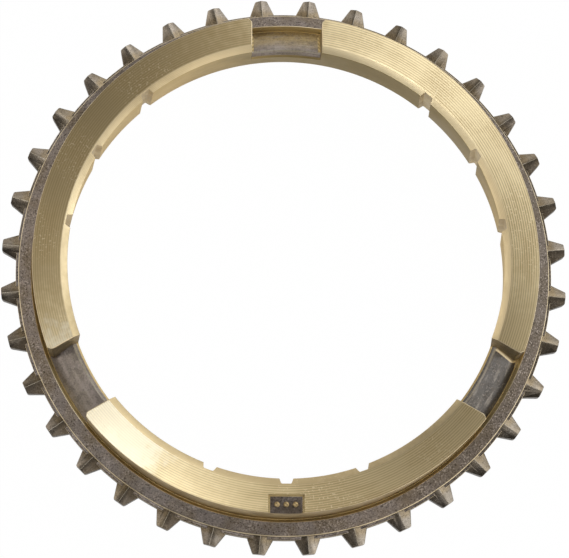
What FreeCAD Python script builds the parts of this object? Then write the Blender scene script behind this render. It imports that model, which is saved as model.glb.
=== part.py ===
import FreeCAD, Part
import math
import os

from FreeCAD import Vector

# A hot-forged brass synchronizer ring, turned where it works.
# Millimetres and degrees. The Z axis is the ring's own axis and Z = 0 is its flat back face,
# which runs beside the gear. The pointed dog teeth and the collar look along +Z, to the hub.

# Dog teeth
TOOTH_COUNT = 36
MODULE = 2.5
ADDENDUM = 1.25
DEDENDUM = 1.2
TOOTH_THICKNESS = 3.1
FLANK_ANGLE = 24.0
POINT_SLOPE = 30.0
TOOTH_RIDGE_HEIGHT = 2.4
TOOTH_TIP_RADIUS = 0.3
TOOTH_BACK_CHAMFER = 0.35

# Rim that carries the teeth
ROOT_LEDGE_WIDTH = 0.5
ROOT_LEDGE_HEIGHT = 1.8
RIM_WIDTH = 2.2
RIM_INNER_HEIGHT = 4.15
RIM_SLOPE = 30.5

# Turned relief between rim and collar
RELIEF_HEIGHT = 2.9
RELIEF_FLARE = 0.5
RELIEF_RADIUS = 0.15

# Collar
RING_HEIGHT = 11.8
COLLAR_WALL = 4.45
FACE_CHAMFER = 0.2

# Friction cone
CONE_HALF_ANGLE = 6.0
MOUTH_CHAMFER_WIDTH = 1.1
MOUTH_CHAMFER_DEPTH = 0.8
BACK_CHAMFER = 0.4

# Key slots through the collar
SLOT_COUNT = 3
FIRST_SLOT_ANGLE = 90.0
SLOT_WIDTH = 11.4
SLOT_LIP_HEIGHT = 6.1
SLOT_CHAMFER_WIDTH = 0.52
SLOT_CHAMFER_DEPTH = 0.9
SLOT_LEAD = 0.3
SLOT_CORNER_RADIUS = 0.75
SLOT_FOOT_RADIUS = 0.4

# Oil grooves along the cone, in equal groups between the slots
OIL_GROOVES_PER_GROUP = 3
OIL_GROOVE_STEP = 20.0
OIL_GROOVE_MOUTH = 2.2
OIL_GROOVE_FLOOR = 1.6
OIL_GROOVE_DEPTH = 0.93

# Drafted pocket in the collar's face, open to its outer side
POCKET_ANGLE = 270.0
POCKET_WIDTH = 5.7
POCKET_REACH = 3.0
POCKET_DEPTH = 0.5
POCKET_DRAFT = 30.0

# How far a cutter or a tooth's foot runs past the face that bounds it
OVERRUN = 1.0

# Distance under which two points count as one
TOLERANCE = 0.001

# Radii, from the pitch circle inwards
pitch_radius = MODULE * TOOTH_COUNT / 2
tip_radius = pitch_radius + ADDENDUM
root_radius = pitch_radius - DEDENDUM
rim_outer = root_radius - ROOT_LEDGE_WIDTH
rim_inner = rim_outer - RIM_WIDTH
relief_foot = rim_inner - RELIEF_FLARE
collar_outer = relief_foot - RELIEF_RADIUS
face_inner = collar_outer - COLLAR_WALL
mouth_radius = face_inner - MOUTH_CHAMFER_WIDTH

# Heights
mouth_height = RING_HEIGHT - MOUTH_CHAMFER_DEPTH
rim_outer_height = RIM_INNER_HEIGHT - RIM_WIDTH * math.tan(math.radians(RIM_SLOPE))

axis = Vector(0, 0, 1)
centre = Vector(0, 0, 0)


def section_point(radius, height):
    """Point of the half section, in the XZ plane."""
    return Vector(radius, 0, height)


def cone_radius(height):
    """Radius of the friction cone at a height: it widens towards the back."""
    return mouth_radius + (mouth_height - height) * math.tan(math.radians(CONE_HALF_ANGLE))


def plane_face(points):
    """Flat face with straight sides through the points, in order."""
    return Part.Face(Part.makePolygon(points + points[:1]))


def turned(face):
    """Solid of revolution of a half section."""
    return face.revolve(centre, axis, 360)


def rotated(shape, angle):
    """Copy of a shape, turned about the ring's axis."""
    copy = shape.copy()
    copy.rotate(centre, axis, angle)
    return copy


def make_body():
    """Rim, relief, collar and friction cone, turned from one half section."""
    outline = [
        section_point(cone_radius(BACK_CHAMFER) + BACK_CHAMFER, 0),
        section_point(root_radius, 0),
        section_point(root_radius, ROOT_LEDGE_HEIGHT),
        section_point(rim_outer, ROOT_LEDGE_HEIGHT),
        section_point(rim_outer, rim_outer_height),
        section_point(rim_inner, RIM_INNER_HEIGHT),
        section_point(relief_foot, RELIEF_HEIGHT),
    ]
    collar = [
        section_point(collar_outer, RELIEF_HEIGHT + RELIEF_RADIUS),
        section_point(collar_outer, RING_HEIGHT - FACE_CHAMFER),
        section_point(collar_outer - FACE_CHAMFER, RING_HEIGHT),
        section_point(face_inner, RING_HEIGHT),
        section_point(mouth_radius, mouth_height),
        section_point(cone_radius(BACK_CHAMFER), BACK_CHAMFER),
        outline[0],
    ]
    fillet_middle = section_point(
        relief_foot - RELIEF_RADIUS * math.sin(math.radians(45)),
        RELIEF_HEIGHT + RELIEF_RADIUS * (1 - math.cos(math.radians(45))),
    )
    fillet = Part.Arc(outline[-1], fillet_middle, collar[0]).toShape()
    edges = Part.makePolygon(outline).Edges + [fillet] + Part.makePolygon(collar).Edges
    return turned(Part.Face(Part.Wire(edges)))


def tooth_half_width(radius):
    """Half the tooth's width at a distance from the ring's axis."""
    return TOOTH_THICKNESS / 2 + (pitch_radius - radius) * math.tan(math.radians(FLANK_ANGLE))


def make_tooth():
    """One dog tooth along +X: a tapered plan under a pointed roof, rounded at its tip."""
    foot = rim_outer - OVERRUN
    beyond = tip_radius + OVERRUN
    plan = plane_face([
        Vector(foot, -tooth_half_width(foot), 0),
        Vector(beyond, -tooth_half_width(beyond), 0),
        Vector(beyond, tooth_half_width(beyond), 0),
        Vector(foot, tooth_half_width(foot), 0),
    ])
    blank = plan.extrude(axis * TOOTH_RIDGE_HEIGHT)

    half = tooth_half_width(foot)
    eaves = TOOTH_RIDGE_HEIGHT - half * math.tan(math.radians(POINT_SLOPE))
    roof = plane_face([
        Vector(foot, -half, 0),
        Vector(foot, half, 0),
        Vector(foot, half, eaves),
        Vector(foot, 0, TOOTH_RIDGE_HEIGHT),
        Vector(foot, -half, eaves),
    ]).extrude(Vector(beyond - foot, 0, 0))

    tip = turned(plane_face([
        section_point(0, 0),
        section_point(tip_radius - TOOTH_BACK_CHAMFER, 0),
        section_point(tip_radius, TOOTH_BACK_CHAMFER),
        section_point(tip_radius, TOOTH_RIDGE_HEIGHT),
        section_point(0, TOOTH_RIDGE_HEIGHT),
    ]))
    tooth = blank.common(roof).common(tip)
    corners = [edge for edge in tooth.Edges if is_tip_corner(edge)]
    return tooth.makeFillet(TOOTH_TIP_RADIUS, corners)


def is_tip_corner(edge):
    """Whether an edge of a tooth is one of the two upright ones at its tip circle."""
    low, high = sorted((vertex.Point for vertex in edge.Vertexes), key=lambda point: point.z)
    upright = (high - low).getAngle(axis) < math.radians(1) and high.z - low.z > 0
    return upright and math.hypot(low.x, low.y) > pitch_radius


def make_slot():
    """Cutter of one key slot along +X.

    Its floor falls outwards to the foot of the relief. Its inner lip has a forged chamfer and,
    on the cone, a turned lead. Its mouth rounds the collar's outer corners.
    """
    lead_height = SLOT_LIP_HEIGHT - SLOT_CHAMFER_DEPTH - SLOT_LEAD
    lead_radius = cone_radius(lead_height)
    lip_radius = lead_radius + SLOT_LEAD + SLOT_CHAMFER_WIDTH
    inside = face_inner - MOUTH_CHAMFER_WIDTH - OVERRUN
    above = RING_HEIGHT + OVERRUN
    swept = turned(plane_face([
        section_point(inside, lead_height),
        section_point(lead_radius, lead_height),
        section_point(lead_radius + SLOT_LEAD, lead_height + SLOT_LEAD),
        section_point(lip_radius, SLOT_LIP_HEIGHT),
        section_point(relief_foot, RELIEF_HEIGHT),
        section_point(relief_foot, above),
        section_point(inside, above),
    ]))

    half = SLOT_WIDTH / 2
    corner_y = half + SLOT_CORNER_RADIUS
    corner_reach = collar_outer - SLOT_CORNER_RADIUS
    corner_x = math.sqrt(corner_reach**2 - corner_y**2)
    outward = math.atan2(corner_y, corner_x)

    def corner_point(direction, radius=SLOT_CORNER_RADIUS):
        return Vector(corner_x + radius * math.cos(direction), corner_y + radius * math.sin(direction), 0)

    start = corner_point(-math.pi / 2)
    middle = corner_point((outward - math.pi / 2) / 2)
    end = corner_point(outward)
    outer = corner_point(outward, SLOT_CORNER_RADIUS + RELIEF_RADIUS + OVERRUN)

    def mirrored(point):
        return Vector(point.x, -point.y, 0)

    edges = [
        Part.makeLine(Vector(0, half, 0), start),
        Part.Arc(start, middle, end).toShape(),
        Part.makeLine(end, outer),
        Part.makeLine(outer, mirrored(outer)),
        Part.makeLine(mirrored(outer), mirrored(end)),
        Part.Arc(mirrored(end), mirrored(middle), mirrored(start)).toShape(),
        Part.makeLine(mirrored(start), Vector(0, -half, 0)),
        Part.makeLine(Vector(0, -half, 0), Vector(0, half, 0)),
    ]
    plan = Part.Face(Part.Wire(edges)).extrude(axis * above)
    cutter = swept.common(plan)
    feet = [edge for edge in cutter.Edges if is_slot_foot(edge)]
    return cutter.makeFillet(SLOT_FOOT_RADIUS, feet)


def is_slot_foot(edge):
    """Whether an edge of a slot's cutter lies where its floor meets one of its straight sides."""
    ends = [vertex.Point for vertex in edge.Vertexes]
    on_side = all(abs(abs(end.y) - SLOT_WIDTH / 2) < TOLERANCE for end in ends)
    lip = max(end.z for end in ends)
    foot = min(end.z for end in ends)
    return on_side and abs(lip - SLOT_LIP_HEIGHT) < TOLERANCE and RELIEF_HEIGHT <= foot < lip


def make_oil_groove():
    """Cutter of one oil groove along +X: a trapezoid that follows the cone at one depth."""
    slope = math.radians(CONE_HALF_ANGLE)
    along = Vector(-math.sin(slope), 0, math.cos(slope))
    deeper = Vector(math.cos(slope), 0, math.sin(slope))
    start = section_point(cone_radius(0), 0) - along * OVERRUN
    spread = (OIL_GROOVE_MOUTH - OIL_GROOVE_FLOOR) / 2 / OIL_GROOVE_DEPTH

    def corner(depth, side):
        half = OIL_GROOVE_FLOOR / 2 + (OIL_GROOVE_DEPTH - depth) * spread
        return start + deeper * depth + Vector(0, side * half, 0)

    profile = plane_face([
        corner(-OVERRUN, -1),
        corner(-OVERRUN, 1),
        corner(OIL_GROOVE_DEPTH, 1),
        corner(OIL_GROOVE_DEPTH, -1),
    ])
    return profile.extrude(along * (RING_HEIGHT / math.cos(slope) + 2 * OVERRUN))


def make_pocket():
    """Cutter of the face pocket along +X, with draft on its three walls."""
    floor = RING_HEIGHT - POCKET_DEPTH
    above = RING_HEIGHT + OVERRUN
    draft = math.tan(math.radians(POCKET_DRAFT))
    inner = collar_outer - POCKET_REACH
    beyond = collar_outer + OVERRUN
    floor_half = POCKET_WIDTH / 2 - POCKET_DEPTH * draft
    above_half = POCKET_WIDTH / 2 + OVERRUN * draft
    across = plane_face([
        Vector(0, -floor_half, floor),
        Vector(0, floor_half, floor),
        Vector(0, above_half, above),
        Vector(0, -above_half, above),
    ]).extrude(Vector(beyond, 0, 0))
    along = plane_face([
        Vector(inner + POCKET_DEPTH * draft, -POCKET_WIDTH, floor),
        Vector(beyond, -POCKET_WIDTH, floor),
        Vector(beyond, -POCKET_WIDTH, above),
        Vector(inner - OVERRUN * draft, -POCKET_WIDTH, above),
    ]).extrude(Vector(0, 2 * POCKET_WIDTH, 0))
    return across.common(along)


def make_ring():
    """The whole ring: one forging with its teeth, slots, oil grooves and pocket."""
    tooth_pitch = 360 / TOOTH_COUNT
    slot_pitch = 360 / SLOT_COUNT
    tooth = make_tooth()
    teeth = [
        rotated(tooth, FIRST_SLOT_ANGLE + (index + 0.5) * tooth_pitch)
        for index in range(TOOTH_COUNT)
    ]
    ring = make_body().multiFuse(teeth)

    slot = make_slot()
    groove = make_oil_groove()
    cutters = [rotated(make_pocket(), POCKET_ANGLE)]
    for index in range(SLOT_COUNT):
        slot_angle = FIRST_SLOT_ANGLE + index * slot_pitch
        cutters.append(rotated(slot, slot_angle))
        for place in range(OIL_GROOVES_PER_GROUP):
            offset = (place - (OIL_GROOVES_PER_GROUP - 1) / 2) * OIL_GROOVE_STEP
            cutters.append(rotated(groove, slot_angle + slot_pitch / 2 + offset))
    return ring.cut(cutters).removeSplitter()


synchronizer_ring = make_ring()

os.makedirs("parts", exist_ok=True)
synchronizer_ring.exportStep("parts/synchronizer_ring.step")
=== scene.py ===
"""Looks of the forged brass synchronizer ring.

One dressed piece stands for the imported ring. It keeps the ring's form and adds rounded edges,
the forged skin, the turning lines and the finishes. A pale floor, soft light and the camera
complete the scene. Sizes are in millimetres until a mesh is finished, and metres after that.
"""

import logging
import random
from dataclasses import dataclass
from enum import IntEnum
from math import copysign, cos, hypot, inf, pi, radians, sin, sqrt, tan, tau
from typing import Any, Iterable, Sequence, Union

import bmesh
import bpy
from bmesh.types import BMEdge, BMesh, BMFace, BMVert
from bpy.types import Material, Node, NodeSocket, Object, World
from mathutils import Euler, Matrix, Vector, noise


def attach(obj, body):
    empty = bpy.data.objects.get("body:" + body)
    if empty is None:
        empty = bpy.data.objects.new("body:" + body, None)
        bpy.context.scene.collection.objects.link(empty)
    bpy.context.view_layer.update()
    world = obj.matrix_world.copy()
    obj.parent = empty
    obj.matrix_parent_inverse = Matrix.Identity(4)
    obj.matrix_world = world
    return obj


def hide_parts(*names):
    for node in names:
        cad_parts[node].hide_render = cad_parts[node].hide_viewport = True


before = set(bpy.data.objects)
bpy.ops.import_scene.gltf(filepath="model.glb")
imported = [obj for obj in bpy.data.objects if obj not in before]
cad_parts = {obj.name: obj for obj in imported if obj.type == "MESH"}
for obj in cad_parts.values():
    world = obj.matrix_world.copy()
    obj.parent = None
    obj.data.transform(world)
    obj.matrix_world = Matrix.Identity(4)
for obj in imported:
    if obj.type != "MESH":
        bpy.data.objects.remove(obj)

MM = 0.001
NODE = "synchronizer_ring"
BODY = "root"
PHOTO_WIDTH = 569
SMOOTH_ANGLE = radians(32)
MERGE_DISTANCE = 0.0008
TOUCH = 0.01
QUARTER_TURN = 0.25

log = logging.getLogger("ring")

Color = tuple[float, float, float]
Pair = tuple[float, float]

WHITE = (1.0, 1.0, 1.0, 1.0)
COOL_LIGHT: Color = (0.98, 0.99, 1.0)
WARM_LIGHT: Color = (1.0, 0.95, 0.88)


class Zone(IntEnum):
    """Areas of the ring by the way their surface was made; the edges and the teeth's ridges also carry a
    painted highlight, and the teeth's far facets a painted shade. The value is the material's index.
    """

    FACE = 0
    CHAMFER = 1
    CONE = 2
    RELIEF = 3
    BACK = 4
    RIM = 5
    TOOTH = 6
    SLOT_FLOOR = 7
    SLOT_WALL = 8
    GROOVE = 9
    POCKET = 10
    EDGE = 11
    COLLAR = 12
    RIDGE = 13
    TOOTH_FAR = 14


FORGED_ZONES = (Zone.RIM, Zone.TOOTH, Zone.TOOTH_FAR, Zone.SLOT_FLOOR)


# Mesh helpers


def new_object(bm: BMesh, name: str, finishes: Sequence[Material]) -> Object:
    """Turns a bmesh into an object with the ring's materials.

    Args:
        bm: The mesh, in millimetres. It is freed.
        name: The object's name.
        finishes: One material for each zone, in the zones' order.

    Returns:
        The linked object.
    """
    mesh = bpy.data.meshes.new(name)
    bm.to_mesh(mesh)
    bm.free()
    for finish in finishes:
        mesh.materials.append(finish)
    piece = bpy.data.objects.new(name, mesh)
    bpy.context.scene.collection.objects.link(piece)
    return piece


def paint(faces: Iterable[BMFace], zone: Zone) -> None:
    """Gives faces the material of a zone."""
    for face in faces:
        face.material_index = zone


def cut_away(bm: BMesh, point: Vector, outward: Vector) -> None:
    """Cuts a closed mesh with a plane, drops what lies outside it and closes the cut.

    Args:
        bm: The closed mesh.
        point: A point on the plane.
        outward: The plane's normal, towards the side that goes.
    """
    geometry = bm.verts[:] + bm.edges[:] + bm.faces[:]
    result = bmesh.ops.bisect_plane(bm, geom=geometry, plane_co=point, plane_no=outward, clear_outer=True)
    rim = [item for item in result["geom_cut"] if isinstance(item, BMEdge)]
    bmesh.ops.edgenet_fill(bm, edges=rim)


def round_off(
    bm: BMesh, geometry: Iterable[BMEdge | BMVert], offset: float, segments: int, affect: str = "EDGES"
) -> None:
    """Rounds edges, or the corners of an outline where it affects VERTICES."""
    bmesh.ops.bevel(
        bm, geom=list(geometry), offset=offset, offset_type="OFFSET", segments=segments,
        profile=0.5, affect=affect, material=-1, clamp_overlap=True,
    )


def turn(bm: BMesh, degrees: float) -> None:
    """Turns a whole mesh about the ring's axis."""
    turned = Matrix.Rotation(radians(degrees), 3, "Z")
    bmesh.ops.rotate(bm, cent=(0, 0, 0), matrix=turned, verts=bm.verts)


def join(bm: BMesh, other: BMesh) -> None:
    """Adds one bmesh to another, through a passing mesh.

    Args:
        bm: The mesh that grows.
        other: The mesh that is added. It is freed.
    """
    passing = bpy.data.meshes.new("passing")
    other.to_mesh(passing)
    other.free()
    bm.from_mesh(passing)
    bpy.data.meshes.remove(passing)


def around(copies: Iterable[tuple[BMesh, float]]) -> BMesh:
    """Joins meshes, each turned about the ring's axis.

    Args:
        copies: Each mesh with its angle, in degrees. The meshes are freed.

    Returns:
        All of them in one mesh.
    """
    whole = bmesh.new()
    for bm, angle in copies:
        turn(bm, angle)
        join(whole, bm)
    return whole


# The ring's shape


@dataclass
class RingSizes:
    """Sizes of the ring, in millimetres and degrees, as its source has them."""

    tooth_count: int = 36
    module: float = 2.5
    addendum: float = 1.25
    dedendum: float = 1.2
    tooth_thickness: float = 3.1
    flank_angle: float = 24.0
    point_slope: float = 30.0
    ridge_height: float = 2.4
    ledge_width: float = 0.5
    ledge_height: float = 1.8
    rim_width: float = 2.2
    rim_inner_height: float = 4.15
    rim_slope: float = 30.5
    relief_height: float = 2.9
    relief_flare: float = 0.5
    relief_radius: float = 0.15
    height: float = 11.8
    collar_wall: float = 4.45
    cone_half_angle: float = 6.0
    mouth_width: float = 1.1
    mouth_depth: float = 0.8
    back_chamfer: float = 0.4
    slot_count: int = 3
    first_slot: float = 90.0
    slot_width: float = 11.4
    lip_height: float = 6.1
    lip_chamfer_width: float = 0.52
    lip_chamfer_depth: float = 0.9
    slot_lead: float = 0.3
    slot_corner: float = 0.75
    slot_foot: float = 0.4
    grooves_per_group: int = 3
    groove_step: float = 20.0
    groove_mouth: float = 2.2
    groove_floor: float = 1.6
    groove_depth: float = 0.93
    pocket_angle: float = 270.0
    pocket_width: float = 5.7
    pocket_reach: float = 3.0
    pocket_depth: float = 0.5
    pocket_draft: float = 30.0
    overrun: float = 1.0

    def __post_init__(self) -> None:
        """Works the radii out from the pitch circle inwards."""
        self.pitch_radius: float = self.module * self.tooth_count / 2
        self.tip_radius: float = self.pitch_radius + self.addendum
        self.root_radius: float = self.pitch_radius - self.dedendum
        self.rim_outer: float = self.root_radius - self.ledge_width
        self.rim_inner: float = self.rim_outer - self.rim_width
        self.relief_foot: float = self.rim_inner - self.relief_flare
        self.collar_outer: float = self.relief_foot - self.relief_radius
        self.face_inner: float = self.collar_outer - self.collar_wall
        self.mouth_radius: float = self.face_inner - self.mouth_width
        self.mouth_height: float = self.height - self.mouth_depth
        rim_fall = self.rim_width * tan(radians(self.rim_slope))
        self.rim_outer_height: float = self.rim_inner_height - rim_fall
        self.lead_height: float = self.lip_height - self.lip_chamfer_depth - self.slot_lead
        self.lead_radius: float = self.cone_radius(self.lead_height)
        self.lip_radius: float = self.lead_radius + self.slot_lead + self.lip_chamfer_width

    def cone_radius(self, height: float) -> float:
        """Radius of the friction cone at a height."""
        widening = tan(radians(self.cone_half_angle))
        return self.mouth_radius + (self.mouth_height - height) * widening

    def slot_angles(self) -> list[float]:
        """Directions of the key slots, in degrees."""
        return [self.first_slot + index * 360 / self.slot_count for index in range(self.slot_count)]


@dataclass(frozen=True)
class Corner:
    """A corner of the blank's half section, its rounding, and the zone of the side that follows."""

    radius: float
    height: float
    rounding: float
    zone: Zone
    # Whether the corner's edge is painted bright: partly wear, partly a painted highlight.
    worn_and_highlit: bool = False

    @property
    def point(self) -> Vector:
        """The corner's place in the half section."""
        return Vector((self.radius, self.height))


@dataclass
class Blank:
    """The turned body: rim, relief, collar and cone, spun from one half section."""

    sizes: RingSizes
    steps: int = 360
    start_angle: float = 0.37
    fine_edge: float = 0.09
    face_edge: float = 0.13
    rim_edge: float = 0.14
    edge_steps: int = 3
    worn_and_highlit_share: float = 0.75
    relief_margin: float = 0.02
    rim_cuts: int = 5

    def corners(self) -> list[Corner]:
        """Lays out the half section.

        Returns:
            Its corners, in order from the bore's back edge outwards and over the top.
        """
        s = self.sizes
        fine = self.fine_edge
        return [
            Corner(s.cone_radius(s.back_chamfer) + s.back_chamfer, 0, fine, Zone.BACK),
            Corner(s.root_radius, 0, fine, Zone.RIM),
            Corner(s.root_radius, s.ledge_height, fine, Zone.RIM, worn_and_highlit=True),
            Corner(s.rim_outer, s.ledge_height, fine, Zone.RIM),
            Corner(s.rim_outer, s.rim_outer_height, self.rim_edge, Zone.RIM, worn_and_highlit=True),
            Corner(s.rim_inner, s.rim_inner_height, self.rim_edge, Zone.RELIEF, worn_and_highlit=True),
            Corner(s.relief_foot, s.relief_height, 0, Zone.RELIEF),
            Corner(s.collar_outer, s.relief_height, s.relief_radius - self.relief_margin, Zone.COLLAR),
            Corner(s.collar_outer, s.height, self.face_edge, Zone.FACE, worn_and_highlit=True),
            Corner(s.face_inner, s.height, fine, Zone.CHAMFER),
            Corner(s.mouth_radius, s.mouth_height, fine, Zone.CONE),
            Corner(s.cone_radius(s.back_chamfer), s.back_chamfer, fine, Zone.BACK),
        ]

    def zone_at(self, radius: float, height: float) -> Zone:
        """Zone of the section side that lies nearest to a point, or the bright edge zone near a marked
        corner, which paints wear and a highlight.

        Args:
            radius: The point's distance from the axis.
            height: The point's height.

        Returns:
            The zone.
        """
        corners = self.corners()
        point = Vector((radius, height))
        near = [c for c in corners if (c.point - point).length < c.rounding * self.worn_and_highlit_share]
        if any(corner.worn_and_highlit for corner in near):
            return Zone.EDGE
        best, found = inf, Zone.FACE
        for start, end in zip(corners, corners[1:] + corners[:1]):
            side = end.point - start.point
            along = max(0.0, min(1.0, (point - start.point).dot(side) / side.length_squared))
            distance = (point - start.point.lerp(end.point, along)).length
            if distance < best:
                best, found = distance, start.zone
        return found

    def build(self) -> BMesh:
        """Spins the rounded half section once round and paints its zones.

        Returns:
            The closed blank.
        """
        bm = bmesh.new()
        corners = self.corners()
        points = [bm.verts.new((corner.radius, 0, corner.height)) for corner in corners]
        bm.faces.new(points)
        for offset in sorted({corner.rounding for corner in corners if corner.rounding > 0}):
            group = [vert for vert, corner in zip(points, corners) if corner.rounding == offset]
            round_off(bm, group, offset, self.edge_steps, "VERTICES")
        bmesh.ops.delete(bm, geom=bm.faces[:], context="FACES_ONLY")
        long_sides = [edge for edge in bm.edges if self.is_long(edge)]
        bmesh.ops.subdivide_edges(bm, edges=long_sides, cuts=self.rim_cuts)
        turn(bm, self.start_angle)
        bmesh.ops.spin(
            bm, geom=bm.verts[:] + bm.edges[:], axis=(0, 0, 1), cent=(0, 0, 0),
            angle=tau, steps=self.steps, use_merge=True,
        )
        bmesh.ops.remove_doubles(bm, verts=bm.verts, dist=MERGE_DISTANCE)
        bmesh.ops.recalc_face_normals(bm, faces=bm.faces)
        for face in bm.faces:
            middle = face.calc_center_median()
            face.material_index = self.zone_at(hypot(middle.x, middle.y), middle.z)
        return bm

    def is_long(self, edge: BMEdge) -> bool:
        """Looks for the section's long sides at the rim, which the forging left uneven.

        Args:
            edge: An edge of the section.

        Returns:
            Whether it is one of them.
        """
        a, b = (vert.co for vert in edge.verts)
        outside = min(a.x, b.x) > self.sizes.relief_foot
        return outside and min(a.z, b.z) > 0 and edge.calc_length() > self.sizes.rim_width / 2


@dataclass
class DogTeeth:
    """The pointed teeth round the rim."""

    sizes: RingSizes
    tip_corner: float = 0.16
    edge: float = 0.07
    edge_steps: int = 2
    edge_angle: float = 12.0
    roof_facing: Pair = (0.5, 0.95)
    ridge_facing: float = 0.92
    far_facing: float = 0.3
    back_chamfer: float = 0.35
    back_step: float = 0.03
    tip_wear: float = 0.05
    width_spread: float = 0.03
    seed: int = 11

    def tooth(self, tip: float, narrower: float) -> BMesh:
        """One tooth along +X: a block cut to its taper and its roof, then rounded.

        Args:
            tip: Radius of this tooth's tip.
            narrower: How much each flank stands in from its place.

        Returns:
            The closed tooth.
        """
        s = self.sizes
        flank, roof = radians(s.flank_angle), radians(s.point_slope)
        foot = s.rim_outer - s.overrun
        half = s.tooth_thickness / 2 + (s.pitch_radius - foot) * tan(flank)
        bm = bmesh.new()
        bmesh.ops.create_cube(bm, size=1)
        height = s.ridge_height + s.overrun - self.back_step
        bmesh.ops.scale(bm, vec=(tip - foot, 2 * half, height), verts=bm.verts)
        middle = ((tip + foot) / 2, 0, self.back_step + height / 2)
        bmesh.ops.translate(bm, vec=middle, verts=bm.verts)
        for side in (-1, 1):
            at_pitch = Vector((s.pitch_radius, side * (s.tooth_thickness / 2 - narrower), 0))
            cut_away(bm, at_pitch, Vector((sin(flank), side * cos(flank), 0)))
            upward = Vector((0, side * sin(roof), cos(roof)))
            cut_away(bm, Vector((0, 0, s.ridge_height)), upward)
        cut_away(bm, Vector((tip, 0, self.back_chamfer)), Vector((1, 0, -1)))
        uprights = [edge for edge in bm.edges if self.is_upright(edge, tip)]
        round_off(bm, uprights, self.tip_corner, self.edge_steps)
        tops = [edge for edge in bm.edges if self.is_top(edge)]
        round_off(bm, tops, self.edge, self.edge_steps)
        bmesh.ops.recalc_face_normals(bm, faces=bm.faces)
        if bm.calc_volume(signed=True) < 0:
            bmesh.ops.reverse_faces(bm, faces=bm.faces)
        bm.normal_update()
        paint(bm.faces, Zone.TOOTH)
        # Painted shade: facets that face -Y take a darker copy of the tooth's finish.
        paint([face for face in bm.faces if face.normal.y < -self.far_facing], Zone.TOOTH_FAR)
        # Painted highlight along the ridge, over its real rubbing: the ridge's faces take the bright ridge
        # finish.
        paint([face for face in bm.faces if face.normal.z > self.ridge_facing], Zone.RIDGE)
        return bm

    def is_upright(self, edge: BMEdge, tip: float) -> bool:
        """Whether an edge is one of the upright corners at the tip."""
        a, b = (vert.co for vert in edge.verts)
        return max(abs(a.x - tip), abs(b.x - tip), abs(a.y - b.y)) < TOUCH < abs(a.y)

    def is_top(self, edge: BMEdge) -> bool:
        """Looks for the edges that bound the roof: its ridge, its eaves and its end.

        Args:
            edge: An edge of the tooth.

        Returns:
            Whether it is one of them and lies outside the rim.
        """
        if edge.calc_face_angle(0) < radians(self.edge_angle):
            return False
        low, high = self.roof_facing
        outside = max(vert.co.x for vert in edge.verts) > self.sizes.rim_outer
        return outside and any(low < face.normal.z < high for face in edge.link_faces)

    def build(self) -> BMesh:
        """Makes every tooth, each a little different, and places it round the ring.

        Returns:
            All the teeth.
        """
        dice = random.Random(self.seed)
        s = self.sizes
        copies = []
        for index in range(s.tooth_count):
            tip = s.tip_radius - dice.random() * self.tip_wear
            tooth = self.tooth(tip, dice.random() * self.width_spread)
            copies.append((tooth, s.first_slot + (index + 0.5) * 360 / s.tooth_count))
        return around(copies)


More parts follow.
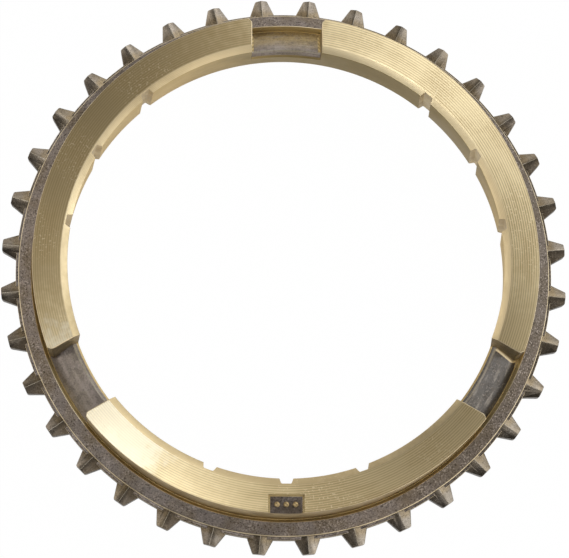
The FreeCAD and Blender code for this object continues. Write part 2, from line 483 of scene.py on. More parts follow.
@dataclass
class KeySlots:
    """Cutters of the key slots, whose lower side is the slot's forged floor."""

    sizes: RingSizes
    inside: float = 1.0
    foot_steps: int = 5
    floor_steps: int = 12
    across_steps: int = 16
    top_edge: float = 0.12
    sink: float = 0.04
    wave_height: float = 0.05
    wave_length: float = 2.6
    seed_step: float = 20.0
    chamfer_shares: tuple[float, ...] = (0.35, 0.7, 0.9)
    lip_share: float = 0.03
    corner_share: float = 0.98
    cone_margin: float = 0.1
    lip_line: Pair = (-0.12, 0.1)
    rubbed_slot: int = 0
    flashed_slot: int = 2

    def stations(self) -> list[Pair]:
        """Lays out the floor's section.

        Returns:
            Its points, from the cone outwards over the lip to the relief.
        """
        s = self.sizes
        start = Vector((s.lead_radius, s.lead_height))
        low = start + Vector((s.slot_lead, s.slot_lead))
        lip = Vector((s.lip_radius, s.lip_height))
        foot = Vector((s.relief_foot + self.sink, s.relief_height + self.sink))
        points = [(s.lead_radius - self.inside, s.lead_height), tuple(start), tuple(low)]
        points += [tuple(low.lerp(lip, share)) for share in self.chamfer_shares]
        shares = [self.lip_share] + [step / self.floor_steps for step in range(1, self.floor_steps + 1)]
        return points + [tuple(lip.lerp(foot, share)) for share in shares]

    def columns(self) -> list[Pair]:
        """Lays out the lines that run along the slot.

        Returns:
            Their places across the slot, each with the rise of the floor's fillet there.
        """
        s = self.sizes
        flat = s.slot_width / 2 - s.slot_foot
        fillet = []
        for step in range(1, self.foot_steps + 1):
            angle = pi / 2 * step / self.foot_steps
            fillet.append((flat + s.slot_foot * sin(angle), s.slot_foot * (1 - cos(angle))))
        middle = [(flat * (2 * step / self.across_steps - 1), 0.0) for step in range(self.across_steps + 1)]
        return [(-place, rise) for place, rise in reversed(fillet)] + middle + fillet

    def widening(self, reach: float) -> float:
        """How far the slot's side stands out of its straight line, round the collar's outer corner.

        Args:
            reach: Distance along the slot from the ring's axis.

        Returns:
            The distance, nothing before the corner starts.
        """
        s = self.sizes
        corner_y = s.slot_width / 2 + s.slot_corner
        corner_x = sqrt((s.collar_outer - s.slot_corner) ** 2 - corner_y**2)
        past = min(max(reach - corner_x, 0.0), s.slot_corner * self.corner_share)
        return s.slot_corner - sqrt(s.slot_corner**2 - past**2)

    def cutter(self, seed: float, index: int) -> BMesh:
        """One cutter along +X: a grid laid on the floor's form, drawn up past the collar's face.

        Args:
            seed: Moves the unevenness of the forged floor, so that no two slots are alike.
            index: The slot's place in the row of slots.

        Returns:
            The closed cutter.
        """
        s = self.sizes
        stations, columns = self.stations(), self.columns()
        rows, lines = len(stations) - 1, len(columns) - 1
        bm = bmesh.new()
        bmesh.ops.create_grid(bm, x_segments=rows, y_segments=lines, size=1)
        for vert in bm.verts:
            radius, height = stations[round((vert.co.x + 1) / 2 * rows)]
            place, rise = columns[round((vert.co.y + 1) / 2 * lines)]
            reach = sqrt(radius**2 - place**2)
            place += copysign(self.widening(reach), place) * abs(place) / (s.slot_width / 2)
            spot = Vector((reach, place, seed)) / self.wave_length
            wave = self.wave_height * noise.noise(spot) if radius > s.cone_radius(0) else 0.0
            vert.co = (reach, place, height + rise + wave)
        paint(bm.faces, Zone.SLOT_FLOOR)
        cone_reach = s.cone_radius(s.back_chamfer) - self.cone_margin
        paint([face for face in bm.faces if face.calc_center_median().xy.length < cone_reach], Zone.CONE)
        self.wear_and_highlight(bm, index)
        top = self.draw_up(bm, bm.faces[:], s.height - self.top_edge, 0.0, Zone.SLOT_WALL)
        self.draw_up(bm, top, s.height + s.overrun, self.top_edge + s.overrun, Zone.EDGE)
        bmesh.ops.recalc_face_normals(bm, faces=bm.faces)
        return bm

    def wear_and_highlight(self, bm: BMesh, index: int) -> None:
        """Paints the lip's bright line, a painted highlight along its convex edge, and the bright fillets
        of the slots that have them.

        Args:
            bm: The floor's grid.
            index: The slot's place in the row of slots.
        """
        s = self.sizes
        flat = s.slot_width / 2 - s.slot_foot
        for face in bm.faces:
            middle = face.calc_center_median()
            past_lip = middle.xy.length - s.lip_radius
            # Painted highlight: a thin band along the lip's convex edge.
            if self.lip_line[0] < past_lip < self.lip_line[1]:
                face.material_index = Zone.RIDGE
            elif past_lip > 0 and abs(middle.y) > flat and index == self.rubbed_slot:
                face.material_index = Zone.RELIEF
            elif past_lip > 0 and middle.y > flat and index == self.flashed_slot:
                face.material_index = Zone.EDGE

    def draw_up(
        self, bm: BMesh, faces: list[BMFace], height: float, spread: float, zone: Zone
    ) -> list[BMFace]:
        """Draws faces up to a height.

        Args:
            bm: The cutter.
            faces: The faces that are drawn up.
            height: Where the new top lies.
            spread: How far the new top's long sides stand outwards from the old ones.
            zone: The zone of the sides that this makes.

        Returns:
            The new top's faces.
        """
        before = set(bm.faces)
        edges = {edge for face in faces for edge in face.edges}
        verts = {vert for face in faces for vert in face.verts}
        result = bmesh.ops.extrude_face_region(bm, geom=[*faces, *edges, *verts])
        top = [item for item in result["geom"] if isinstance(item, BMFace)]
        half = self.sizes.slot_width / 2 - TOUCH
        for vert in {vert for face in top for vert in face.verts}:
            vert.co.z = height
            if abs(vert.co.y) > half:
                vert.co.y += copysign(spread, vert.co.y)
        paint(set(bm.faces) - before - set(top), zone)
        return top

    def build(self) -> BMesh:
        """Makes the cutter of every slot."""
        angles = enumerate(self.sizes.slot_angles())
        return around((self.cutter(self.seed_step * (index + 1), index), angle) for index, angle in angles)


@dataclass
class OilGrooves:
    """Cutters of the oil grooves along the friction cone."""

    sizes: RingSizes
    floor_corner: float = 0.18
    corner_steps: int = 3

    def cutter(self) -> BMesh:
        """Draws a block to a trapezoid and leans it along the cone.

        Returns:
            One cutter along +X.
        """
        s = self.sizes
        slope = radians(s.cone_half_angle)
        length = s.height / cos(slope) + 2 * s.overrun
        spread = (s.groove_mouth - s.groove_floor) / 2 / s.groove_depth
        bm = bmesh.new()
        bmesh.ops.create_cube(bm, size=2)
        for vert in bm.verts:
            depth = s.groove_depth if vert.co.x > 0 else -s.overrun
            half = s.groove_floor / 2 + (s.groove_depth - depth) * spread
            along = length if vert.co.z > 0 else 0.0
            vert.co = (depth, copysign(half, vert.co.y), along)
        corners = [edge for edge in bm.edges if self.is_floor_corner(edge)]
        round_off(bm, corners, self.floor_corner, self.corner_steps)
        bmesh.ops.rotate(bm, cent=(0, 0, 0), matrix=Matrix.Rotation(-slope, 3, "Y"), verts=bm.verts)
        start = Vector((s.cone_radius(0) + s.overrun * sin(slope), 0, -s.overrun * cos(slope)))
        bmesh.ops.translate(bm, vec=start, verts=bm.verts)
        bmesh.ops.recalc_face_normals(bm, faces=bm.faces)
        paint(bm.faces, Zone.GROOVE)
        return bm

    def is_floor_corner(self, edge: BMEdge) -> bool:
        """Whether an edge runs along the groove where its floor meets a side."""
        a, b = (vert.co for vert in edge.verts)
        return min(a.x, b.x) > self.sizes.groove_depth - TOUCH and abs(a.z - b.z) > TOUCH

    def build(self) -> BMesh:
        """Makes the cutter of every groove, in equal groups between the slots.

        Returns:
            All the cutters.
        """
        s = self.sizes
        middles = [angle + 180 / s.slot_count for angle in s.slot_angles()]
        places = [place - (s.grooves_per_group - 1) / 2 for place in range(s.grooves_per_group)]
        angles = [middle + place * s.groove_step for middle in middles for place in places]
        return around((self.cutter(), angle) for angle in angles)


@dataclass
class FacePocket:
    """Cutter of the pocket in the collar's face, and the plain studs that stand in it."""

    sizes: RingSizes
    floor_corner: float = 0.12
    corner_steps: int = 2
    floor_facing: float = 0.9
    stud_count: int = 3
    stud_pitch: float = 1.45
    stud_radius: float = 0.46
    stud_height: float = 0.3
    stud_reach: float = 1.45

    def cutter(self) -> BMesh:
        """Draws a block whose three walls lean outwards, and turns it to its place.

        Returns:
            The pocket's cutter.
        """
        s = self.sizes
        draft = tan(radians(s.pocket_draft))
        bm = bmesh.new()
        bmesh.ops.create_cube(bm, size=2)
        for vert in bm.verts:
            rise = s.overrun if vert.co.z > 0 else -s.pocket_depth
            half = s.pocket_width / 2 + rise * draft
            inner = s.collar_outer - s.pocket_reach - rise * draft
            reach = s.collar_outer + s.overrun if vert.co.x > 0 else inner
            vert.co = (reach, copysign(half, vert.co.y), s.height + rise)
        low = [edge for edge in bm.edges if self.is_floor_edge(edge)]
        round_off(bm, low, self.floor_corner, self.corner_steps)
        bmesh.ops.recalc_face_normals(bm, faces=bm.faces)
        paint(bm.faces, Zone.RELIEF)
        paint([face for face in bm.faces if face.normal.z < -self.floor_facing], Zone.POCKET)
        turn(bm, s.pocket_angle)
        return bm

    def is_floor_edge(self, edge: BMEdge) -> bool:
        """Whether an edge bounds the pocket's floor under one of its three walls."""
        a, b = (vert.co for vert in edge.verts)
        return max(a.z, b.z) < self.sizes.height and min(a.x, b.x) < self.sizes.collar_outer

    def studs(self) -> BMesh:
        """Sets plain domed studs in a row on the pocket's floor.

        Returns:
            The studs.
        """
        s = self.sizes
        size = (self.stud_radius, self.stud_radius, self.stud_height)
        copies = []
        for index in range(self.stud_count):
            across = (index - (self.stud_count - 1) / 2) * self.stud_pitch
            place = (s.collar_outer - self.stud_reach, across, s.height - s.pocket_depth)
            stud = bmesh.new()
            bmesh.ops.create_uvsphere(stud, u_segments=24, v_segments=12, radius=1.0)
            bmesh.ops.scale(stud, vec=size, verts=stud.verts)
            bmesh.ops.translate(stud, vec=place, verts=stud.verts)
            paint(stud.faces, Zone.COLLAR)
            copies.append((stud, s.pocket_angle))
        return around(copies)


@dataclass
class Ring:
    """The whole ring, put together from its blank, its teeth and its cutters."""

    sizes: RingSizes
    finishes: Sequence[Material]
    skin_height: float = 0.035
    skin_length: float = 1.7

    def combine(self, piece: Object, other: Object, operation: str) -> None:
        """Joins or cuts a piece with another, and drops the other.

        Args:
            piece: The object that is kept and changed.
            other: The object that is added or taken away.
            operation: UNION or DIFFERENCE.
        """
        modifier = piece.modifiers.new(operation.lower(), "BOOLEAN")
        modifier.operation = operation
        modifier.solver = "MANIFOLD"
        modifier.object = other
        graph = bpy.context.evaluated_depsgraph_get()
        made = bpy.data.meshes.new_from_object(piece.evaluated_get(graph))
        piece.modifiers.clear()
        old = piece.data
        piece.data = made
        bpy.data.meshes.remove(old)
        bpy.data.objects.remove(other)

    def build(self) -> Object:
        """Builds the finished ring, in metres, with its origin at the frame's.

        Returns:
            The ring's object.
        """
        s = self.sizes
        piece = new_object(Blank(s).build(), "forged_ring", self.finishes)
        self.combine(piece, new_object(DogTeeth(s).build(), "teeth", self.finishes), "UNION")
        log.info("teeth joined: %d faces", len(piece.data.polygons))
        pocket = FacePocket(s)
        pocket_cutter = new_object(pocket.cutter(), "pocket", self.finishes)
        self.combine(pocket_cutter, new_object(pocket.studs(), "studs", self.finishes), "DIFFERENCE")
        cutters = KeySlots(s).build()
        join(cutters, OilGrooves(s).build())
        self.combine(piece, new_object(cutters, "cutters", self.finishes), "DIFFERENCE")
        self.combine(piece, pocket_cutter, "DIFFERENCE")
        log.info("slots, grooves and pocket cut: %d faces", len(piece.data.polygons))
        self.finish(piece)
        return piece

    def finish(self, piece: Object) -> None:
        """Cleans the mesh, gives the forged skin its unevenness, smooths it and scales it to metres.

        Args:
            piece: The ring, in millimetres.
        """
        bm = bmesh.new()
        bm.from_mesh(piece.data)
        bmesh.ops.remove_doubles(bm, verts=bm.verts, dist=MERGE_DISTANCE)
        bmesh.ops.dissolve_degenerate(bm, dist=MERGE_DISTANCE / 4, edges=bm.edges)
        bm.normal_update()
        moves = []
        for vert in bm.verts:
            if vert.link_faces and all(face.material_index in FORGED_ZONES for face in vert.link_faces):
                depth = self.skin_height * (noise.noise(vert.co / self.skin_length) - 1) / 2
                moves.append((vert, vert.normal * depth))
        for vert, move in moves:
            vert.co += move
        bmesh.ops.scale(bm, vec=(MM, MM, MM), verts=bm.verts)
        for face in bm.faces:
            face.smooth = True
        for edge in bm.edges:
            edge.smooth = len(edge.link_faces) == 2 and edge.calc_face_angle(0) < SMOOTH_ANGLE
        open_edges = sum(1 for edge in bm.edges if len(edge.link_faces) != 2)
        log.info("finished ring: %d faces, %d open edges", len(bm.faces), open_edges)
        bm.to_mesh(piece.data)
        bm.free()


# Shader nodes


class Value:
    """A socket that Python expressions work on: each operator adds one Math node."""

    def __init__(self, shader: "Shader", socket: NodeSocket) -> None:
        """Wraps a socket of a shader."""
        self.shader = shader
        self.socket = socket

    def __add__(self, other: Any) -> "Value":
        """Sum."""
        return self.shader.math("ADD", self, other)

    def __sub__(self, other: Any) -> "Value":
        """Difference."""
        return self.shader.math("SUBTRACT", self, other)

    def __rsub__(self, other: Any) -> "Value":
        """Difference, with a number first."""
        return self.shader.math("SUBTRACT", other, self)

    def __mul__(self, other: Any) -> "Value":
        """Product."""
        return self.shader.math("MULTIPLY", self, other)

    def __pow__(self, other: Any) -> "Value":
        """Power."""
        return self.shader.math("POWER", self, other)

    __radd__ = __add__
    __rmul__ = __mul__

    def clamped(self) -> "Value":
        """The value, held between 0 and 1."""
        return self.shader.ramp(self, 0.0, 1.0)


Input = Union[Value, Node, NodeSocket, float, Sequence[float]]


class Shader:
    """The nodes of one material or world."""

    def __init__(self, owner: Material | World) -> None:
        """Empties the owner's node tree.

        Args:
            owner: The material or world.
        """
        owner.use_nodes = True
        self.owner = owner
        self.tree = owner.node_tree
        self.tree.nodes.clear()

    def node(self, kind: str, settings: dict[str, Any] | None = None, **inputs: Input) -> Node:
        """Adds any node.

        Args:
            kind: The node's type after ShaderNode, such as TexNoise.
            settings: Its own settings, which are set before its sockets.
            inputs: Values or links of its sockets, by name with _ for a space, or inN by place.

        Returns:
            The node.
        """
        made = self.tree.nodes.new(f"ShaderNode{kind}")
        for key, value in (settings or {}).items():
            setattr(made, key, value)
        for key, value in inputs.items():
            by_place = key.startswith("in") and key[2:].isdigit()
            self.feed(made.inputs[int(key[2:]) if by_place else key.replace("_", " ")], value)
        return made

    def feed(self, socket: NodeSocket, value: Input) -> None:
        """Links or sets one socket.

        Args:
            socket: The socket.
            value: What is linked to it, where a node stands for its first output, or its own value.
        """
        if isinstance(value, Value):
            value = value.socket
        if isinstance(value, Node):
            value = value.outputs[0]
        if isinstance(value, NodeSocket):
            self.tree.links.new(value, socket)
        else:
            socket.default_value = value

    def math(self, operation: str, first: Input, second: Input = 0.0) -> Value:
        """Adds a Math node and returns its value."""
        made = self.node("Math", {"operation": operation}, in0=first, in1=second)
        return Value(self, made.outputs[0])

    def ramp(self, value: Input, low: float, high: float, start: float = 0.0, end: float = 1.0) -> Value:
        """Maps a value from low..high to start..end, smoothly and held at the ends."""
        made = self.node(
            "MapRange", {"interpolation_type": "SMOOTHSTEP", "clamp": True},
            Value=value, From_Min=low, From_Max=high, To_Min=start, To_Max=end,
        )
        return Value(self, made.outputs["Result"])

    def vector(self, operation: str, first: Input, **inputs: Input) -> NodeSocket:
        """Adds a Vector Math node, whose second vector is in1, and returns its result."""
        made = self.node("VectorMath", {"operation": operation}, in0=first, **inputs)
        return made.outputs["Value" if operation in ("LENGTH", "DOT_PRODUCT") else "Vector"]

    def facing(self, direction: Input, toward: Sequence[float]) -> Value:
        """How well a direction points towards another: 1 along it and 0 across it."""
        return Value(self, self.vector("DOT_PRODUCT", direction, in1=toward))

    def noise(self, vector: Input, scale: float, detail: float = 3.0, rough: float = 0.5) -> Value:
        """Noise over a vector, about 0.5."""
        made = self.node("TexNoise", Vector=vector, Scale=scale, Detail=detail, Roughness=rough)
        return Value(self, made.outputs["Fac"])

    def mix(self, factor: Input, first: Input, second: Input) -> NodeSocket:
        """Mixes two colours."""
        return self.node("Mix", {"data_type": "RGBA"}, in0=factor, in6=first, in7=second).outputs[2]

    def lay(self, color: Input, upper: Input, value: Input, span: Pair, share: float) -> NodeSocket:
        """Lays a colour over another where a value is past the first end of a span, up to a share."""
        return self.mix(self.ramp(value, *span, 0.0, share), color, upper)

    def bump(self, height: Input, depth: float, under: Input | None = None) -> NodeSocket:
        """Turns a height of 0 to 1 into relief.

        Args:
            height: The height.
            depth: The relief's depth, in millimetres.
            under: The normal that it adds to.

        Returns:
            The new normal.
        """
        made = self.node("Bump", Strength=1.0, Distance=depth * MM, Height=height)
        if under is not None:
            self.feed(made.inputs["Normal"], under)
        return made.outputs[0]

    def surface(self, **inputs: Input) -> Material:
        """Ends the material with a Principled surface."""
        self.node("OutputMaterial", Surface=self.node("BsdfPrincipled", **inputs))
        return self.owner


def heading(azimuth: float, elevation: float = 0.0) -> tuple[float, float, float]:
    """The way to a point at an azimuth and an elevation, in degrees."""
    across, up = radians(azimuth), radians(elevation)
    return (cos(across) * cos(up), sin(across) * cos(up), sin(up))


def shade(color: Color, level: float = 1.0) -> tuple[float, float, float, float]:
    """A colour at a level, with full alpha."""
    return (color[0] * level, color[1] * level, color[2] * level, 1.0)


@dataclass(frozen=True)
class RingSpace:
    """Places on the ring as a lathe sees them, from Object coordinates."""

    shader: Shader
    place: NodeSocket
    radius: Value
    height: Value
    direction: NodeSocket
    height_share: float = 0.8
    mean_radius: float = 40.0

    @classmethod
    def of(cls, shader: Shader) -> "RingSpace":
        """Adds the nodes that work the places out.

        Args:
            shader: The material's shader.

        Returns:
            The places.
        """
        place = shader.node("TexCoord").outputs["Object"]
        height = Value(shader, shader.node("SeparateXYZ", Vector=place).outputs["Z"])
        flat = shader.vector("MULTIPLY", place, in1=(1.0, 1.0, 0.0))
        radius = Value(shader, shader.vector("LENGTH", flat))
        return cls(shader, place, radius, height, shader.vector("NORMALIZE", flat))

    def across(self) -> Value:
        """Distance across the turning, on flat and on conical surfaces alike, in metres."""
        return self.radius + self.height * self.height_share

    def lines(self, pitch: float, drift: Value) -> Value:
        """Even lines round the axis, as a tool's feed leaves them.

        Args:
            pitch: Distance from line to line, in millimetres.
            drift: Moves the lines a little, by up to about a pitch.

        Returns:
            A wave between 0 and 1.
        """
        phase = (self.across() * (1 / (pitch * MM)) + drift) * tau
        return self.shader.math("SINE", phase) * 0.5 + 0.5

    def streaks(self, pitch: float, length: float, detail: float = 2.0) -> Value:
        """Noise in arcs about the ring's axis.

        Args:
            pitch: Width of a streak across the turning, in millimetres.
            length: Length of a streak along the turning, in millimetres.
            detail: Levels of finer noise.

        Returns:
            The noise, about 0.5.
        """
        across = self.across() * (1 / (pitch * MM))
        lifted = self.shader.node("CombineXYZ", Z=across)
        round_it = self.shader.vector("SCALE", self.direction, Scale=self.mean_radius / length)
        return self.shader.noise(self.shader.vector("ADD", round_it, in1=lifted), 1.0, detail=detail)


@dataclass(frozen=True)
class PaintedSideLight:
    """Painted light on one side of the ring, with angles in degrees: a dark colour paints shade there, a
    pale one a highlight.
    """

    azimuth: float
    share: float
    color: Color = (0.46, 0.33, 0.15)
    reach: float = 80.0
    full: float = 30.0
    cloud: float = 0.35
    cloud_scale: float = 110.0
    grain: float = 0.6
    grain_scale: float = 900.0

    def over(self, ring: RingSpace, color: Input) -> NodeSocket:
        """Lays the painted light over a colour.

        Args:
            ring: Places on the ring.
            color: The colour under the painted light.

        Returns:
            The colour with the painted light.
        """
        shader = ring.shader
        facing = shader.facing(ring.direction, heading(self.azimuth))
        uneven = facing + (shader.noise(ring.place, self.cloud_scale) - 0.5) * self.cloud
        uneven += (shader.noise(ring.place, self.grain_scale, detail=2.0) - 0.5) * self.grain
        span = (cos(radians(self.reach)), cos(radians(self.full)))
        return shader.lay(color, shade(self.color), uneven, span, self.share)


@dataclass(frozen=True)
class TurnedBrass:
    """A surface cut on a lathe: fine lines round the axis, small marks and a thin tarnish, with painted
    shade and painted highlights on chosen sides.
    """

    name: str
    color: Color = (0.93, 0.78, 0.485)
    tarnish: Color = (0.50, 0.385, 0.21)
    tarnish_share: float = 0.28
    roughness: float = 0.42
    anisotropy: float = 0.85
    line_pitch: float = 0.33
    line_length: float = 9.0
    line_depth: float = 0.008
    line_contrast: float = 0.36
    line_drift: float = 0.6
    line_share: float = 0.6
    dark_shares: Pair = (0.75, 0.5)
    dark_span: Pair = (0.95, 0.25)
    broader: float = 5.0
    longer: float = 3.0
    cloud_scale: float = 95.0
    cloud_share: float = 0.7
    tarnish_span: Pair = (0.42, 0.62)
    grain_scale: float = 2600.0
    grain_share: float = 0.25
    rough_span: Pair = (0.35, 0.65)
    rough_change: Pair = (-0.03, 0.06)
    mark: Color = (0.95, 0.82, 0.55)
    mark_share: float = 0.5
    mark_scales: Pair = (90.0, 3200.0)
    patch_span: Pair = (0.44, 0.60)
    nick_span: Pair = (0.60, 0.70)
    painted_side_lights: tuple[PaintedSideLight, ...] = ()

    def build(self) -> Material:
        """Makes the material.

        Returns:
            The material.
        """
        shader = Shader(bpy.data.materials.new(self.name))
        ring = RingSpace.of(shader)
        fine = ring.streaks(self.line_pitch, self.line_length)
        broad = ring.streaks(self.line_pitch * self.broader, self.line_length * self.longer)
        lines = ring.lines(self.line_pitch, broad * self.line_drift)
        cloud = shader.noise(ring.place, self.cloud_scale, detail=4.0, rough=0.6)
        grain = shader.noise(ring.place, self.grain_scale, detail=2.0, rough=0.6)
        normal = shader.bump(lines * self.line_share + fine * (1 - self.line_share), self.line_depth)
        normal = shader.bump(grain, self.line_depth * self.grain_share, normal)
        relief = lines * self.dark_shares[0] + fine * self.dark_shares[1]
        dark_lines = shader.ramp(relief, *self.dark_span, 0.0, self.line_contrast)
        uneven = cloud * self.cloud_share + broad * (1 - self.cloud_share)
        tarnished = shader.ramp(uneven, *self.tarnish_span, 0.0, self.tarnish_share)
        color = shader.mix((dark_lines + tarnished).clamped(), shade(self.color), shade(self.tarnish))
        # Painted shade and painted highlights, each on its side of the ring.
        for stain_and_painted_light in self.painted_side_lights:
            color = stain_and_painted_light.over(ring, color)
        color = shader.mix(self.marks(ring) * self.mark_share, color, shade(self.mark))
        rough = shader.ramp(cloud, *self.rough_span, *self.rough_change) + self.roughness
        return shader.surface(
            Base_Color=color, Metallic=1.0, Roughness=rough, Anisotropic=self.anisotropy,
            Anisotropic_Rotation=QUARTER_TURN, Normal=normal)

    def marks(self, ring: RingSpace) -> Value:
        """Scatters small bright nicks over a few patches.

        Args:
            ring: Places on the ring.

        Returns:
            Where the nicks are, between 0 and 1.
        """
        shader = ring.shader
        patches, nicks = (shader.noise(ring.place, scale, detail=1.0) for scale in self.mark_scales)
        return shader.ramp(patches, *self.patch_span) * shader.ramp(nicks, *self.nick_span)


@dataclass(frozen=True)
class Tint:
    """A colour that a finish takes on between two radii, in millimetres, all round or only at +Y."""

    color: Color
    start: float
    end: float
    share: float
    one_side: bool = False
    side_span: Pair = (0.7, 0.9)
    unevenness: float = 1.5

    def over(self, ring: RingSpace, color: Input, stain_and_painted_light: Value) -> NodeSocket:
        """Lays the tint over a colour.

        Args:
            ring: Places on the ring.
            color: The colour under the tint.
            stain_and_painted_light: The noise that makes the tint's edge uneven.

        Returns:
            The tinted colour.
        """
        shader = ring.shader
        radius = ring.radius + (stain_and_painted_light - 0.5) * (self.unevenness * MM)
        tinted = shader.ramp(radius, self.start * MM, self.end * MM, 0.0, self.share)
        if self.one_side:
            tinted *= shader.ramp(shader.facing(ring.direction, (0.0, 1.0, 0.0)), *self.side_span)
        return shader.mix(tinted, color, shade(self.color))


@dataclass(frozen=True)
class ForgedSkin:
    """A surface left by the forging die: dull, grained and stained, with brass where it is rubbed, and
    painted shade on one side where it has it.
    """

    name: str
    cool: Color = (0.20, 0.175, 0.155)
    warm: Color = (0.17, 0.135, 0.095)
    speck: Color = (0.52, 0.45, 0.37)
    speck_share: float = 0.5
    pit_share: float = 0.6
    roughness: float = 0.42
    rough_span: Pair = (0.35, 0.65)
    rough_change: Pair = (-0.05, 0.10)
    metallic: float = 0.9
    grain_size: float = 0.30
    grain_depth: float = 0.03
    grain_share: float = 0.6
    rub_share: float = 0.7
    speck_span: Pair = (0.52, 0.66)
    pit_span: Pair = (0.46, 0.34)
    pit_level: float = 0.25
    streak_share: float = 0.0
    streak_pitch: float = 0.35
    streak_length: float = 5.0
    streak_level: float = 0.4
    light_span: Pair = (0.52, 0.68)
    dark_span: Pair = (0.48, 0.34)
    cloud_scale: float = 190.0
    cloud_span: Pair = (0.38, 0.62)
    stain_scale: float = 520.0
    mottle_scale: float = 800.0
    mottle_span: Pair = (0.50, 0.62)
    mottle_share: float = 0.25
    mottle_level: float = 0.45
    tint: Tint | None = None
    stain_and_painted_light: PaintedSideLight | None = None

    def build(self) -> Material:
        """Makes the material.

        Returns:
            The material.
        """
        shader = Shader(bpy.data.materials.new(self.name))
        ring = RingSpace.of(shader)
        grain = shader.noise(ring.place, 1 / (self.grain_size * MM), rough=0.6)
        cloud = shader.noise(ring.place, self.cloud_scale, detail=4.0, rough=0.6)
        # Real uneven tone, not painted light: it feeds the rubbed specks, the roughness and the tint's
        # edge.
        stain_and_painted_light = shader.noise(ring.place, self.stain_scale, rough=0.6)
        color = shader.lay(shade(self.cool), shade(self.warm), cloud, self.cloud_span, 1.0)
        if self.tint:
            color = self.tint.over(ring, color, stain_and_painted_light)
        # Painted shade on one side of the ring.
        if self.stain_and_painted_light:
            color = self.stain_and_painted_light.over(ring, color)
        mottle = shader.noise(ring.place, self.mottle_scale, rough=0.7)
        rubbed = grain * self.rub_share + stain_and_painted_light * (1 - self.rub_share)
        layers = [
            (shade(self.warm, self.mottle_level), mottle, self.mottle_span, self.mottle_share),
            (shade(self.speck), rubbed, self.speck_span, self.speck_share),
            (shade(self.warm, self.pit_level), grain, self.pit_span, self.pit_share),
        ]
        height = grain
        if self.streak_share:
            streaks = ring.streaks(self.streak_pitch, self.streak_length)
            layers.append((shade(self.speck), streaks, self.light_span, self.streak_share))
            layers.append((shade(self.warm, self.streak_level), streaks, self.dark_span, self.streak_share))
            height = grain * self.grain_share + streaks * (1 - self.grain_share)
        for layer in layers:
            color = shader.lay(color, *layer)
        normal = shader.bump(height, self.grain_depth)
        rough = shader.ramp(stain_and_painted_light, *self.rough_span, *self.rough_change) + self.roughness
        return shader.surface(Base_Color=color, Metallic=self.metallic, Roughness=rough, Normal=normal)


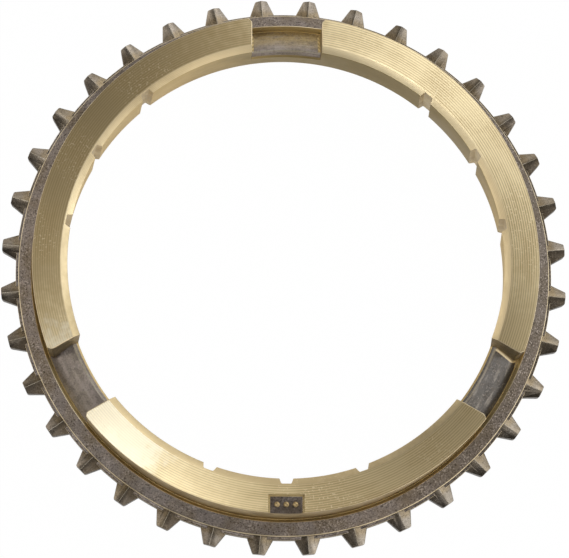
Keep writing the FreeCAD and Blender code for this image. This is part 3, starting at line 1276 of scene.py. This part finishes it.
def ring_finishes() -> list[Material]:
    """Chooses the finish of each zone.

    Returns:
        The materials, in the zones' order.
    """
    tooth_skin = {
        "speck_share": 0.25, "pit_share": 0.6, "grain_depth": 0.018, "grain_size": 0.22, "roughness": 0.25,
        "tint": Tint((0.24, 0.175, 0.09), 45.0, 43.9, 0.6),
    }
    by_zone = {
        Zone.FACE: TurnedBrass(
            "turned_face", mark_share=0.6, line_pitch=0.37, line_contrast=0.55,
            # Painted shade on the face towards 148° and 302°, and a near-white painted highlight towards
            # 218°.
            painted_side_lights=(
                PaintedSideLight(148, 0.64),
                PaintedSideLight(302, 0.34, (0.52, 0.375, 0.16), reach=75, full=38),
                PaintedSideLight(218, 0.65, (1.0, 0.93, 0.74), reach=30, full=8, grain=0.2),
            )),
        Zone.CHAMFER: TurnedBrass(
            "turned_chamfer", roughness=0.34, line_contrast=0.2, mark_share=0.2, color=(0.84, 0.70, 0.44),
            # Painted shade on the chamfer towards 240°.
            painted_side_lights=(PaintedSideLight(240, 0.62, (0.46, 0.35, 0.18)),)),
        Zone.CONE: TurnedBrass(
            "turned_cone", roughness=0.36, line_contrast=0.25, mark_share=0.0, color=(0.69, 0.53, 0.26),
            # Painted reflection of the ring's shadow on the floor: a dark patch on the bore towards 62°.
            painted_side_lights=(PaintedSideLight(62, 0.7, (0.17, 0.13, 0.055), reach=62, full=12, grain=0.1),)),
        Zone.RELIEF: TurnedBrass(
            "turned_relief", color=(0.70, 0.56, 0.29), tarnish=(0.26, 0.20, 0.11), roughness=0.6,
            anisotropy=0.2, line_contrast=0.5),
        Zone.BACK: TurnedBrass("turned_back", line_pitch=0.5),
        Zone.RIM: ForgedSkin(
            "forged_rim", cool=(0.25, 0.213, 0.19), warm=(0.205, 0.163, 0.12), speck=(0.50, 0.43, 0.37),
            speck_share=0.75, pit_share=0.9, grain_size=0.27, grain_depth=0.04,
            # Painted shade on the rim towards 5°.
            stain_and_painted_light=PaintedSideLight(5, 0.65, (0.10, 0.08, 0.06), reach=80, full=45)),
        Zone.TOOTH: ForgedSkin(
            "forged_tooth", cool=(0.33, 0.29, 0.24), warm=(0.28, 0.23, 0.165),
            # Painted shade on the teeth towards 190°.
            stain_and_painted_light=PaintedSideLight(190, 0.72, (0.075, 0.062, 0.05), reach=85, full=50), **tooth_skin),
        Zone.SLOT_FLOOR: ForgedSkin(
            "forged_slot_floor", cool=(0.335, 0.29, 0.265), warm=(0.29, 0.25, 0.21),
            speck=(0.50, 0.45, 0.39), grain_depth=0.02, pit_share=0.35, speck_share=0.4, streak_share=0.3,
            mottle_share=0.4,
            tint=Tint((0.44, 0.34, 0.17), 36.4, 39.0, 0.85, one_side=True),
            # Painted shade on the slot floors towards 330°.
            stain_and_painted_light=PaintedSideLight(330, 0.85, (0.09, 0.088, 0.085), reach=60, full=30, grain=0.3)),
        Zone.SLOT_WALL: ForgedSkin(
            "forged_slot_wall", cool=(0.55, 0.44, 0.25), warm=(0.44, 0.34, 0.17), grain_depth=0.015,
            # Painted shade on the slot walls towards 270°.
            speck_share=0.15, stain_and_painted_light=PaintedSideLight(270, 0.6, (0.13, 0.09, 0.045), reach=85, full=66)),
        Zone.GROOVE: ForgedSkin(
            "forged_groove", cool=(0.72, 0.595, 0.37), warm=(0.59, 0.465, 0.26), speck_share=0.2,
            pit_share=0.2, mottle_share=0.1),
        Zone.POCKET: ForgedSkin(
            "forged_pocket", cool=(0.13, 0.11, 0.10), warm=(0.11, 0.085, 0.065), speck_share=0.2),
        # Rubbed edges with a painted highlight: bright, even brass along the rounded corners.
        Zone.EDGE: TurnedBrass(
            "rubbed_edge", roughness=0.5, anisotropy=0.0, color=(0.82, 0.70, 0.48), line_contrast=0.0,
            line_depth=0.001, mark_share=0.0),
        Zone.COLLAR: ForgedSkin(
            "forged_collar", cool=(0.52, 0.395, 0.205), warm=(0.41, 0.30, 0.148), grain_depth=0.015,
            speck_share=0.2, pit_share=0.25, mottle_share=0.15, grain_size=0.2),
        # Rubbed brass with a painted highlight: the bright line along the teeth's ridges and the slots'
        # lips.
        Zone.RIDGE: ForgedSkin(
            "rubbed_ridge", cool=(0.44, 0.39, 0.32), warm=(0.36, 0.31, 0.23), grain_depth=0.01,
            speck_share=0.3, pit_share=0.3),
        Zone.TOOTH_FAR: ForgedSkin(
            # The far facets: a darker copy of the tooth's finish, with painted shade towards 325°.
            "forged_tooth_far", cool=(0.30, 0.26, 0.215), warm=(0.25, 0.205, 0.145),
            stain_and_painted_light=PaintedSideLight(325, 0.82, (0.055, 0.046, 0.037), reach=80, full=50), **tooth_skin),
    }
    return [by_zone[zone].build() for zone in Zone]


# The studio


@dataclass(frozen=True)
class Glow:
    """A soft bright patch of the studio's walls and ceiling, that fades out all round."""

    azimuth: float
    elevation: float
    level: float
    tightness: float = 14.0
    color: Color = COOL_LIGHT

    def over(self, shader: Shader, toward: NodeSocket, light: Input) -> NodeSocket:
        """Adds the patch to the world's light.

        Args:
            shader: The world's shader.
            toward: The way that each ray goes.
            light: The light so far.

        Returns:
            The light with the patch.
        """
        facing = shader.facing(toward, heading(self.azimuth, self.elevation))
        level = shader.math("MAXIMUM", facing, 0.0) ** self.tightness
        tinted = shader.vector("SCALE", shade(self.color, self.level)[:3], Scale=level)
        return shader.vector("ADD", light, in1=tinted)


@dataclass(frozen=True)
class Studio:
    """Floor, world and camera, in millimetres and degrees."""

    glows: tuple[Glow, ...] = (
        Glow(0, 26, 0.55),
        Glow(30, 26, 1.15),
        Glow(60, 26, 1.6),
        Glow(72, 48, 0.4),
        Glow(222, 61, 3.3, tightness=26),
        Glow(55, 50, 0.75),
        Glow(240, 70, 1.2),
        Glow(300, 26, 0.85, color=WARM_LIGHT),
        Glow(0, 5, 2.0),
        Glow(96, 5, 1.0, color=WARM_LIGHT),
        Glow(150, 5, 1.6, color=WARM_LIGHT),
        Glow(184, 5, 1.9, color=WARM_LIGHT),
        Glow(300, 5, 0.8, color=WARM_LIGHT),
        Glow(330, 5, 1.1, color=WARM_LIGHT),
    )
    haze: Color = (0.03, 0.028, 0.025)
    floor_size: float = 6000.0
    floor_gap: float = 0.05
    floor_color: Color = (0.86, 0.86, 0.86)
    floor_glow: float = 0.95
    floor_gloss_glow: float = 0.35
    camera_place: tuple[float, float, float] = (-14.065, -76.2, 376.9)
    camera_turn: tuple[float, float, float] = (11.296, -2.169, 0.107)
    focal_pixels: float = 2343.3
    sensor: float = 36.0
    camera_range: Pair = (0.01, 20.0)

    def floor(self) -> Object:
        """Lays a plain pale floor: white to the camera, but with the ring's shadow, and clear from below.

        Returns:
            The floor.
        """
        bm = bmesh.new()
        bmesh.ops.create_grid(bm, x_segments=1, y_segments=1, size=self.floor_size * MM / 2)
        bmesh.ops.translate(bm, vec=(0, 0, -self.floor_gap * MM), verts=bm.verts)
        shader = Shader(bpy.data.materials.new("pale_floor"))
        diffuse = shader.node("BsdfDiffuse", Color=shade(self.floor_color))
        glow = shader.node("Emission", Color=WHITE, Strength=1.0)
        path = shader.node("LightPath").outputs
        seen = Value(shader, path["Is Camera Ray"]) * self.floor_glow
        mirrored = Value(shader, path["Is Glossy Ray"]) + Value(shader, path["Is Transmission Ray"])
        white = (seen + mirrored * self.floor_gloss_glow).clamped()
        below = shader.node("NewGeometry").outputs["Backfacing"]
        top = shader.node("MixShader", in0=white, in1=diffuse, in2=glow)
        floor = shader.node("MixShader", in0=below, in1=top, in2=shader.node("BsdfTransparent"))
        shader.node("OutputMaterial", Surface=floor)
        return new_object(bm, "floor", [shader.owner])

    def world(self) -> None:
        """Makes soft glows round the ring, with a white background behind it."""
        world = bpy.data.worlds.new("studio")
        bpy.context.scene.world = world
        shader = Shader(world)
        toward = shader.node("TexCoord").outputs["Generated"]
        light: Input = self.haze
        for glow in self.glows:
            light = glow.over(shader, toward, light)
        lit = shader.node("Background", Color=light, Strength=1.0)
        white = shader.node("Background", Color=WHITE, Strength=1.0)
        seen = shader.node("LightPath").outputs["Is Camera Ray"]
        shader.node("OutputWorld", Surface=shader.node("MixShader", in0=seen, in1=lit, in2=white))

    def camera(self) -> None:
        """A camera at the photograph's viewing angle, distance and focal length."""
        data = bpy.data.cameras.new("camera")
        data.sensor_width = self.sensor
        data.lens = self.focal_pixels * self.sensor / PHOTO_WIDTH
        data.clip_start, data.clip_end = self.camera_range
        camera = bpy.data.objects.new("camera", data)
        camera.location = Vector(self.camera_place) * MM
        camera.rotation_euler = Euler([radians(turned) for turned in self.camera_turn], "XYZ")
        bpy.context.scene.collection.objects.link(camera)
        bpy.context.scene.camera = camera

    def build(self) -> None:
        """Builds the studio."""
        bpy.context.scene.view_settings.view_transform = "Standard"
        self.floor()
        self.world()
        self.camera()


def main() -> None:
    logging.basicConfig(level=logging.INFO, format="%(name)s: %(message)s")
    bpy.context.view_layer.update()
    ring = Ring(RingSizes(), ring_finishes()).build()
    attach(ring, BODY)
    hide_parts(NODE)
    log.info("ring dressed")
    Studio().build()
    log.info("studio built")


if __name__ == "__main__":
    main()
